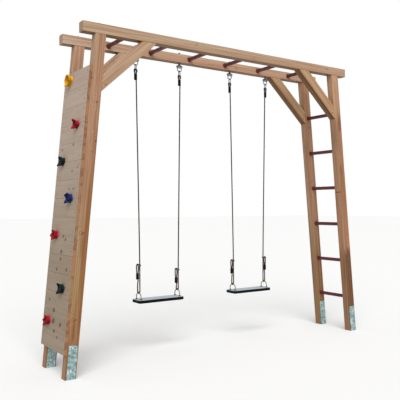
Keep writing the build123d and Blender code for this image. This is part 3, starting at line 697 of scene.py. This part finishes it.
coat_timbers()
paint("climbing_boards", make_board_wood())
rung_coat = make_coat("rung_coat", (0.092, 0.014, 0.017), (0.125, 0.032, 0.030), 0.40)
collar_coat = make_coat("collar_coat", (0.115, 0.013, 0.016), (0.15, 0.035, 0.035), 0.40)
zinc = make_metal("zinc", (0.34, 0.35, 0.36), (0.12, 0.12, 0.115), 0.26)
passivated = make_metal("passivated_zinc", (0.34, 0.34, 0.20), (0.16, 0.19, 0.12), 0.24)
bright_zinc = make_metal("bright_zinc", (0.50, 0.55, 0.57), (0.16, 0.18, 0.18), 0.22)
dark_steel = make_metal("dark_steel", (0.14, 0.135, 0.12), (0.06, 0.05, 0.04), 0.36)
screw_steel = make_metal("screw_steel", (0.20, 0.18, 0.15), (0.10, 0.07, 0.05), 0.5)
galvanised = make_galvanised()
nylon = make_coat("nylon", (0.70, 0.69, 0.64), (0.5, 0.48, 0.42), 0.4)
sleeve_rubber = make_rubber("sleeve_rubber", (0.005, 0.005, 0.006), (0.012, 0.012, 0.013))
# the seat's top colour is a painted sky reflection
seat_rubber = make_rubber("seat_rubber", (0.004, 0.004, 0.005), (0.47, 0.525, 0.575))
rope_light = make_rope_fibre("rope_light", (0.088, 0.071, 0.065), (0.052, 0.040, 0.035))
rope_dark = make_rope_fibre("rope_dark", (0.036, 0.028, 0.026), (0.024, 0.019, 0.017))
# each resin's colour, its worn colour and how dark the painted shade in its hollows is
hold_tones = {
    "yellow": ((0.72, 0.36, 0.006), (0.60, 0.29, 0.012), 0.30),
    "red": ((0.36, 0.008, 0.020), (0.29, 0.014, 0.026), 0.70),
    "green": ((0.006, 0.019, 0.017), (0.011, 0.025, 0.023), 0.60),
    "blue": ((0.009, 0.020, 0.120), (0.014, 0.027, 0.120), 0.66),
}
hold_coats = {
    colour: make_coat(f"hold_{colour}_resin", tone, worn, 0.34, 500.0, 0.13, darkening)
    for colour, (tone, worn, darkening) in hold_tones.items()
}

for number in range(1, rung_count + 1):
    paint(f"overhead_rung_{number}", rung_coat)
    paint(f"ladder_rung_{number}", rung_coat)
paint("rung_collars", collar_coat)
paint("hold_fixings", make_metal("black_bolts", (0.035, 0.035, 0.036), (0.06, 0.045, 0.035), 0.4))
paint("hanger_bushes", nylon)
for name in ("board_screws", "brace_screws"):
    paint(name, screw_steel)
for name in ("beam_bolts", "swing_hangers", "hanger_nuts"):
    paint(name, zinc)
swing_coats = {
    "swing_stirrups": zinc,
    "swing_axle_bolts": zinc,
    "swing_links": dark_steel,
    "swing_rope_rings": dark_steel,
    "swing_rope_sleeves": sleeve_rubber,
    "seat_brackets": passivated,
    "seat_nuts": dark_steel,
    "seat": seat_rubber,
}
for kind, material in swing_coats.items():
    paint(f"left_{kind}", material)
    paint(f"right_{kind}", material)

# ---- ropes

strand_count = 3
strand_centre = 0.0024
strand_radius = 0.0029
lay_length = 0.036
strand_sides = 8
strand_step = 0.0034
depthways = Vector((0, 1, 0))
# adjuster ring heights, and the side of the rope that its lower sleeve is on
rope_settings = {
    ("left", "left"): (0.665, -1),
    ("left", "right"): (0.613, -1),
    ("right", "left"): (0.653, -1),
    ("right", "right"): (0.662, 1),
}
# how far the rope runs from the middle of a sleeve, the thimble, its bracket loop and its ring eye
strand, eye, loop, hook = 0.0053, 0.012, 0.0095, 0.0085
tail_inset = 0.008         # the cut ends, up inside their sleeves
upper_bottom, upper_mouth, eye_middle = 2.089, 2.138, 2.161
lower_sleeve_drop = 0.064
lower_sleeve_length = 0.044
hook_offset = 0.020        # from the strand that slides to the middle of the hooked eye
loop_bottom = 0.4505
loop_straight = 0.019      # of rope held straight above the loop


def rope_route(hanger_x, bracket_x, ring_z, side):
    """The rope's control points, from its upper cut end, round the thimble, down, and back up."""
    lower_mouth = ring_z - lower_sleeve_drop
    lower_bottom = lower_mouth - lower_sleeve_length
    sliding_x = bracket_x - side * loop
    hook_x = sliding_x + side * hook_offset
    # a line to measure from, how far to the sleeve's side of it, and the height
    points = [
        (hanger_x, strand, upper_bottom + tail_inset),
        (hanger_x, strand, upper_mouth + 0.005),
        (hanger_x, eye, eye_middle - 0.006),
        (hanger_x, eye, eye_middle + eye),
        (hanger_x, -eye, eye_middle + eye),
        (hanger_x, -eye, eye_middle - 0.006),
        (hanger_x, -strand, upper_mouth + 0.005),
        (hanger_x, -strand, upper_bottom - 0.010),
        (sliding_x, 0, ring_z + 0.040),
        (sliding_x, 0, loop_bottom + loop_straight),
        (sliding_x, 0, loop_bottom),
        (bracket_x, loop, loop_bottom),
        (bracket_x, loop, loop_bottom + loop_straight),
        (bracket_x, loop, lower_bottom - 0.034),
        (hook_x, -strand, lower_bottom - 0.006),
        (hook_x, -strand, lower_mouth + 0.008),
        (hook_x, -hook, ring_z - 0.030),
        (hook_x, -hook, ring_z + hook),
        (hook_x, hook, ring_z + hook),
        (hook_x, hook, ring_z - 0.030),
        (hook_x, strand, lower_mouth + 0.008),
        (hook_x, strand, lower_bottom + tail_inset),
    ]
    return [Vector((x + side * off, beam_line, z)) for x, off, z in points]


def spline_points(name, route):
    """Points read from a smooth NURBS line through the route."""
    curve = bpy.data.curves.new(name, "CURVE")
    curve.dimensions = "3D"
    spline = curve.splines.new("NURBS")
    spline.points.add(len(route) - 1)
    for point, place in zip(spline.points, route):
        point.co = (*place, 1)
    spline.order_u = 3
    spline.use_endpoint_u = True
    curve.resolution_u = 24
    holder = add_object(name, curve)
    bpy.context.view_layer.update()
    mesh = bpy.data.meshes.new_from_object(holder)
    line = [v.co.copy() for v in mesh.vertices]
    bpy.data.objects.remove(holder)
    bpy.data.meshes.remove(mesh)
    bpy.data.curves.remove(curve)
    return line


def evenly(line, step):
    """The same line with points about one step apart."""
    lengths = [0.0]
    for a, b in zip(line, line[1:]):
        lengths.append(lengths[-1] + (b - a).length)
    count = max(2, round(lengths[-1] / step))
    spaced, index = [], 0
    for i in range(count + 1):
        target = lengths[-1] * i / count
        while index < len(lengths) - 2 and lengths[index + 1] < target:
            index += 1
        share = (target - lengths[index]) / max(1e-9, lengths[index + 1] - lengths[index])
        spaced.append(line[index].lerp(line[index + 1], min(1.0, share)))
    return spaced, lengths[-1]


def tangent_at(line, i):
    return (line[min(i + 1, len(line) - 1)] - line[max(i - 1, 0)]).normalized()


def skin(shape, rings, smooth=True, material_index=0):
    """Walls between rings of vertices, and a flat cap at each end."""
    sides = len(rings[0])
    for low, high in zip(rings, rings[1:]):
        for k in range(sides):
            after = (k + 1) % sides
            face = shape.faces.new((low[k], low[after], high[after], high[k]))
            face.material_index = material_index
            face.smooth = smooth
    for cap in (list(reversed(rings[0])), rings[-1]):
        shape.faces.new(cap).material_index = material_index


def add_tube(shape, centres, radius, sides, material_index):
    """A closed tube along centres, which never run along depthways."""
    rings = []
    for i, centre in enumerate(centres):
        tangent = tangent_at(centres, i)
        u = depthways.cross(tangent).normalized()
        v = tangent.cross(u)
        turns = [2 * math.pi * k / sides for k in range(sides)]
        spots = [centre + (u * math.cos(t) + v * math.sin(t)) * radius for t in turns]
        rings.append([shape.verts.new(spot) for spot in spots])
    skin(shape, rings, True, material_index)


def finish_piece(name, shape, materials, body):
    """Turns a bmesh into a named piece that rides on a body."""
    bmesh.ops.recalc_face_normals(shape, faces=shape.faces)
    mesh = bpy.data.meshes.new(name)
    shape.to_mesh(mesh)
    shape.free()
    for material in materials:
        mesh.materials.append(material)
    piece = add_object(name, mesh)
    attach(piece, body)
    return piece


def make_rope(swing, hand):
    side = -1 if swing == "left" else 1
    end = -1 if hand == "left" else 1
    ring_z, sleeve_side = rope_settings[(swing, hand)]
    hanger_x = side * swing_reach + end * hanger_offset
    bracket_x = side * swing_reach + end * bracket_offset
    name = f"{swing}_rope_{hand}_laid"
    line = spline_points(name, rope_route(hanger_x, bracket_x, ring_z, sleeve_side))
    spaced, length = evenly(line, strand_step)
    step = length / (len(spaced) - 1)
    shape = bmesh.new()
    for number in range(strand_count):
        centres = []
        for i, point in enumerate(spaced):
            inward = depthways.cross(tangent_at(spaced, i)).normalized()
            angle = 2 * math.pi * (i * step / lay_length + number / strand_count)
            outward = inward * math.cos(angle) + depthways * math.sin(angle)
            centres.append(point + outward * strand_centre)
        add_tube(shape, centres, strand_radius, strand_sides, 1 if number == 0 else 0)
    rope = finish_piece(name, shape, (rope_dark, rope_light), f"{swing}_swing")
    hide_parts(f"{swing}_swing_rope_{hand}")


for swing in ("left", "right"):
    for hand in ("left", "right"):
        make_rope(swing, hand)

# ---- climbing holds

# each hold: Y, distance up the wall, and its lobes as (direction in degrees, reach, height, spread)
# a direction of 0 points towards the front posts and 90 up the wall
hold_shapes = {
    "hold_yellow_top": (
        0.098,
        2.003,
        ((86, 43, 37, 56), (178, 33, 38, 56), (10, 36, 29, 48), (256, 45, 40, 34)),
    ),
    "hold_red_upper": (-0.098, 1.672, ((112, 37, 41, 30), (246, 38, 40, 32), (358, 41, 29, 26))),
    "hold_green_upper": (
        0.098,
        1.430,
        ((108, 37, 39, 28), (242, 38, 41, 30), (14, 38, 31, 30), (60, 36, 30, 22)),
    ),
    "hold_blue_middle": (
        -0.098,
        1.170,
        ((88, 39, 34, 30), (140, 36, 41, 26), (236, 40, 40, 30), (350, 40, 30, 30)),
    ),
    "hold_red_middle": (
        0.098,
        0.922,
        ((106, 37, 38, 24), (48, 38, 33, 26), (344, 38, 31, 26), (256, 38, 38, 26), (192, 35, 40, 26)),
    ),
    "hold_green_lower": (
        -0.098,
        0.573,
        ((112, 39, 41, 30), (6, 39, 31, 34), (246, 40, 39, 30), (300, 36, 31, 22)),
    ),
    "hold_red_lower": (
        0.098,
        0.336,
        ((98, 40, 36, 26), (2, 39, 29, 28), (244, 41, 38, 28), (178, 32, 38, 24)),
    ),
}
# scoops pressed into the mouldings: (x, y, z, radius), in the hold's own directions
hold_scoops = {
    "hold_yellow_top": ((0.002, 0.010, 0.042, 0.018),),
    "hold_red_upper": ((0.022, 0.016, 0.032, 0.010), (0.022, -0.018, 0.030, 0.009)),
    "hold_green_upper": ((0.024, -0.016, 0.032, 0.010),),
    "hold_blue_middle": ((0.024, -0.016, 0.032, 0.009), (0.020, 0.018, 0.036, 0.008)),
    "hold_red_middle": ((0.024, -0.014, 0.032, 0.009), (0.010, 0.026, 0.036, 0.008)),
    "hold_green_lower": ((0.024, 0.014, 0.034, 0.010),),
    "hold_red_lower": ((0.024, 0.018, 0.032, 0.009), (0.022, -0.016, 0.032, 0.009)),
}
# how wide the side wall is at shares of its height: a flange, a waist, and a flared rim
hold_profile = ((0.0, 0.86), (0.16, 0.74), (0.55, 0.92), (0.8, 1.0), (1.0, 0.80))
hold_valley_radius = 0.0275
hold_valley_height = 0.0265
hold_seat_height = 0.014
hold_seat_radius = 0.0098
hold_turns = 144
hold_side_steps = 18
hold_bowl_steps = 14
hold_crest_rise = 0.012    # a crest this far over the valleys gets no painted shade
scoop_reach = 0.8          # how far into the bowl the scoops cut


def wall_place(y, up_wall):
    """Turns a place on the wall's face into the frame: x towards the front, y up the wall, z out."""
    out = Vector((-math.cos(lean), 0, math.sin(lean)))
    up = Vector((math.sin(lean), 0, math.cos(lean)))
    sideways = Vector((0, -1, 0))
    spot = Vector((-foot_reach, y, 0)) + out * board_thickness + up * up_wall
    return placed(spot, sideways, up, out)


def lobe_blend(angle, lobes, which, valley):
    """A size that is the valley's between lobes and each lobe's own on it."""
    value = valley
    for direction, reach, height, spread in lobes:
        gap = (angle - direction + 180) % 360 - 180
        value += ((reach, height)[which] * 0.001 - valley) * math.exp(-((gap / spread) ** 2))
    return value


def eased(share, stops):
    """A value that moves smoothly between (share, value) stops."""
    for (low, start), (high, end) in zip(stops, stops[1:]):
        if share <= high:
            part = (share - low) / (high - low)
            return start + (end - start) * part * part * (3 - 2 * part)
    return stops[-1][1]


def scooped(point, scoops):
    """The point moved out of each scoop's sphere, and how deep in it the point was."""
    depth = 0.0
    for x, y, z, radius in scoops:
        away = point - Vector((x, y, z))
        if away.length < radius:
            depth = max(depth, 1 - away.length / radius)
            point = Vector((x, y, z)) + away.normalized() * radius
    return point, depth


def make_hold(name, y, up_wall, lobes):
    """A moulded hold: lobed side walls, a rounded crest, and a bowl down to the bolt's seat."""
    shape = bmesh.new()
    # how much painted shade each vertex gets: the low valleys, the bowl and the scoops
    hollows = shape.verts.layers.float.new("hollow")
    place = wall_place(y, up_wall)
    rings = []
    for step in range(hold_side_steps + hold_bowl_steps + 1):
        ring = []
        on_side = step <= hold_side_steps
        for turn in range(hold_turns):
            angle = 360 * turn / hold_turns
            radius = lobe_blend(angle, lobes, 0, hold_valley_radius)
            height = lobe_blend(angle, lobes, 1, hold_valley_height)
            crest = hold_profile[-1][1] * radius
            lowness = 1 - min(1.0, (height - hold_valley_height) / hold_crest_rise)
            if on_side:
                share = step / hold_side_steps
                across = radius * eased(share, hold_profile)
                out = height * math.sin(math.pi / 2 * share) ** 1.05
                hollow = 0.55 * lowness * share
            else:
                share = (step - hold_side_steps) / hold_bowl_steps
                phase = math.pi / 2 * share
                across = hold_seat_radius + (crest - hold_seat_radius) * math.cos(phase) ** 0.8
                out = hold_seat_height + (height - hold_seat_height) * (1 - math.sin(phase) ** 1.15)
                hollow = max(0.55 * lowness, min(1.0, share * 1.4))
            x, z = across * math.cos(math.radians(angle)), across * math.sin(math.radians(angle))
            texture_place = Vector((x * 70 + y * 50, z * 70 + up_wall * 9, out * 70))
            fade = 1 if on_side else min(1, 2 * (1 - share))
            uneven = 1 + 0.018 * noise.noise(texture_place) * fade
            spot = Vector((x * uneven, z * uneven, out))
            if on_side or share < scoop_reach:
                spot, depth = scooped(spot, hold_scoops[name])
                hollow = max(hollow, min(1.0, 1.6 * depth))
            vertex = shape.verts.new(place @ spot)
            vertex[hollows] = hollow
            ring.append(vertex)
        rings.append(ring)
    skin(shape, rings)
    colour = name.split("_")[1]
    piece = finish_piece(f"{name}_moulding", shape, (hold_coats[colour],), "frame")
    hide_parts(name)


for hold_name, (hold_y, hold_up, hold_lobes) in hold_shapes.items():
    make_hold(hold_name, hold_y, hold_up, hold_lobes)

# ---- ground anchors and their bolts

anchor_half_width = 0.030
anchor_top = 0.220
anchor_corner = 0.015
anchor_thickness = 0.005
anchor_edge = 0.0008
anchor_columns = 44
anchor_rows = 150
bead_middle = 0.194
bead_radius = 0.0235
bead_height = 0.0013
bead_half_width = 0.0034
bolt_head_radius = 0.011
bolt_radius = 0.005
washer_radius = 0.0125
washer_thickness = 0.002
washer_bevel = 0.0003
bolt_rim_height = 0.0008
bolt_dome_height = 0.0048
bolt_tip_radius = 0.0008
bolt_dome_steps = 8
thread_pitch = 0.0008
thread_depth = 0.0005
nut_apothem = 0.0085
nut_height = 0.008
thread_end = 0.003


def foot_place(side, depth, facing):
    """Turns a place on a post's front or back face into the frame: y up the post, z out of it."""
    sideways = Vector((-facing * math.cos(lean), 0, -facing * side * math.sin(lean)))
    out = Vector((0, facing, 0))
    spot = Vector((side * foot_middle, depth * beam_line + facing * post_depth / 2, 0))
    return placed(spot, sideways, out.cross(sideways), out)


def anchor_height(x, y):
    """How far the bar's front is from the post, with the bead pressed round the upper bolt."""
    if y < bead_middle:
        off = abs(math.hypot(x, y - bead_middle) - bead_radius)
    else:
        off = abs(abs(x) - bead_radius)
    bead = math.exp(-((off / bead_half_width) ** 2)) * min(1.0, max(0.0, (anchor_top - y) / 0.012))
    dimple = 0.0003 * noise.noise(Vector((x * 60, y * 60, 0)))
    return anchor_thickness + bead_height * bead + dimple


def make_anchor(side, depth, name):
    shape = bmesh.new()
    place = foot_place(side, depth, -1)
    grid = []
    for row in range(anchor_rows + 1):
        line = []
        up_share = row / anchor_rows
        for column in range(anchor_columns + 1):
            across_share = 2 * column / anchor_columns - 1
            # columns and rows crowd towards the edges, where the bar is rounded off
            across_share = math.sin(across_share * math.pi / 2) * 0.5 + across_share * 0.5
            level = -across_share * anchor_half_width * side * math.tan(lean)
            y = level + (anchor_top - level) * up_share
            rounding = max(0.0, y - (anchor_top - anchor_corner))
            half = anchor_half_width - anchor_corner + math.sqrt(max(0.0, anchor_corner**2 - rounding**2))
            x = across_share * half
            rim = min(column, anchor_columns - column, row, anchor_rows - row)
            height = anchor_height(x, y) - (anchor_edge if rim == 0 else 0.0)
            line.append(shape.verts.new(place @ Vector((x, y, height))))
        grid.append(line)
    for low, high in zip(grid, grid[1:]):
        for i in range(anchor_columns):
            shape.faces.new((low[i], low[i + 1], high[i + 1], high[i])).smooth = True
    outline = grid[0] + [line[-1] for line in grid[1:]] + list(reversed(grid[-1][:-1]))
    outline += [line[0] for line in reversed(grid[1:-1])]
    to_local = place.inverted()
    back = []
    for vertex in outline:
        flat = to_local @ vertex.co
        back.append(shape.verts.new(place @ Vector((flat.x, flat.y, 0))))
    for i, vertex in enumerate(outline):
        after = (i + 1) % len(outline)
        shape.faces.new((vertex, outline[after], back[after], back[i]))
    shape.faces.new(back)
    piece = finish_piece(f"{name}_anchor", shape, (galvanised,), "frame")
    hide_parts("ground_anchors")


def lathe(shape, place, profile, sides=40, hexagon=None):
    """A turned solid: profile is (radius, height) from the middle line round and back to it.

    With hexagon, each radius is cut to a hexagon of that apothem.
    """
    rings = []
    for radius, height in profile:
        ring = []
        for k in range(sides):
            turn = 2 * math.pi * k / sides
            reach = radius
            if hexagon:
                from_flat = (turn + math.pi / 6) % (math.pi / 3) - math.pi / 6
                reach = min(radius, hexagon / math.cos(from_flat))
            spot = Vector((reach * math.cos(turn), reach * math.sin(turn), height))
            ring.append(shape.verts.new(place @ spot))
        rings.append(ring)
    skin(shape, rings, not hexagon)


def chamfered_nut(shape, place, apothem, low, high):
    corner = apothem / math.cos(math.pi / 6)
    cut = 0.12 * apothem
    profile = ((apothem * 1.02, low), (corner, low + cut), (corner, high - cut), (apothem * 1.02, high))
    lathe(shape, place, profile, 48, apothem)


def make_anchor_bolts(side, depth, name):
    """Round-headed bolts through a post, with a washer, a nut and the thread's end behind."""
    shape = bmesh.new()
    for height in anchor_bolt_heights:
        lift = Matrix.Translation((0, height, 0))
        front = foot_place(side, depth, -1) @ lift
        back = foot_place(side, depth, 1) @ lift
        rim = anchor_thickness + bolt_rim_height
        dome = [(bolt_head_radius, anchor_thickness), (bolt_head_radius, rim)]
        for step in range(1, bolt_dome_steps):
            phase = math.pi / 2 * step / bolt_dome_steps
            dome.append((bolt_head_radius * math.cos(phase), rim + bolt_dome_height * math.sin(phase)))
        dome.append((bolt_tip_radius, rim + bolt_dome_height))
        lathe(shape, front, dome)
        lathe(shape, front, ((bolt_radius, -post_depth - 0.001), (bolt_radius, anchor_thickness)), 24)
        bevelled = washer_radius - washer_bevel
        washer = (
            (bevelled, 0),
            (washer_radius, washer_bevel),
            (washer_radius, washer_thickness - washer_bevel),
            (bevelled, washer_thickness),
        )
        lathe(shape, back, washer)
        chamfered_nut(shape, back, nut_apothem, washer_thickness, washer_thickness + nut_height)
        end = washer_thickness + nut_height + thread_end
        thread = [(bolt_radius, 0.0)]
        ridge = washer_thickness + nut_height - 0.001
        while ridge < end - 1.5 * thread_pitch:
            thread.append((bolt_radius, ridge))
            thread.append((bolt_radius - thread_depth, ridge + thread_pitch / 2))
            thread.append((bolt_radius, ridge + thread_pitch))
            ridge += thread_pitch
        thread.append((bolt_radius - 0.0008, end))
        lathe(shape, back, thread, 24)
    piece = finish_piece(f"{name}_anchor_bolts", shape, (bright_zinc,), "frame")
    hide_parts("anchor_bolts")


for side, depth, corner in corners:
    make_anchor(side, depth, corner)
    make_anchor_bolts(side, depth, corner)

# ---- floor and light


floor_reach = 60.0
sun_strength = 2.6
sun_spread = math.radians(50)
sun_heading = (0.38, 0.66, -0.66)
sky_light = 0.5
sky_seen = 1.0


def make_stage():
    mesh = bpy.data.meshes.new("floor")
    signs = ((-1, -1), (1, -1), (1, 1), (-1, 1))
    edge = [(x * floor_reach, y * floor_reach, 0) for x, y in signs]
    mesh.from_pydata(edge, [], [(0, 1, 2, 3)])
    material, _, _ = start_material("floor", Base_Color=(0.95, 0.95, 0.945, 1), Roughness=0.9)
    mesh.materials.append(material)
    floor = add_object("floor", mesh)


def make_sun():
    """Very soft light from the front left, as under a bright overcast sky."""
    data = bpy.data.lights.new("sun", "SUN")
    data.energy = sun_strength
    data.angle = sun_spread
    sun = add_object("sun", data)
    sun.rotation_euler = Vector(sun_heading).to_track_quat("-Z", "Y").to_euler()


def make_world():
    """Even white sky; the part that is seen directly is brighter than the part that lights."""
    world = bpy.data.worlds.new("studio")
    world.use_nodes = True
    tree = world.node_tree
    background = tree.nodes["Background"]
    seen = put(tree, "LightPath", out="Is Camera Ray")
    level = put(tree, "MapRange", {"Value": seen, "To Min": sky_light, "To Max": sky_seen})
    tree.links.new(level, background.inputs["Strength"])
    background.inputs["Color"].default_value = (1, 1, 1, 1)
    bpy.context.scene.world = world


make_stage()
make_sun()
make_world()
bpy.context.scene.view_settings.view_transform = "Standard"
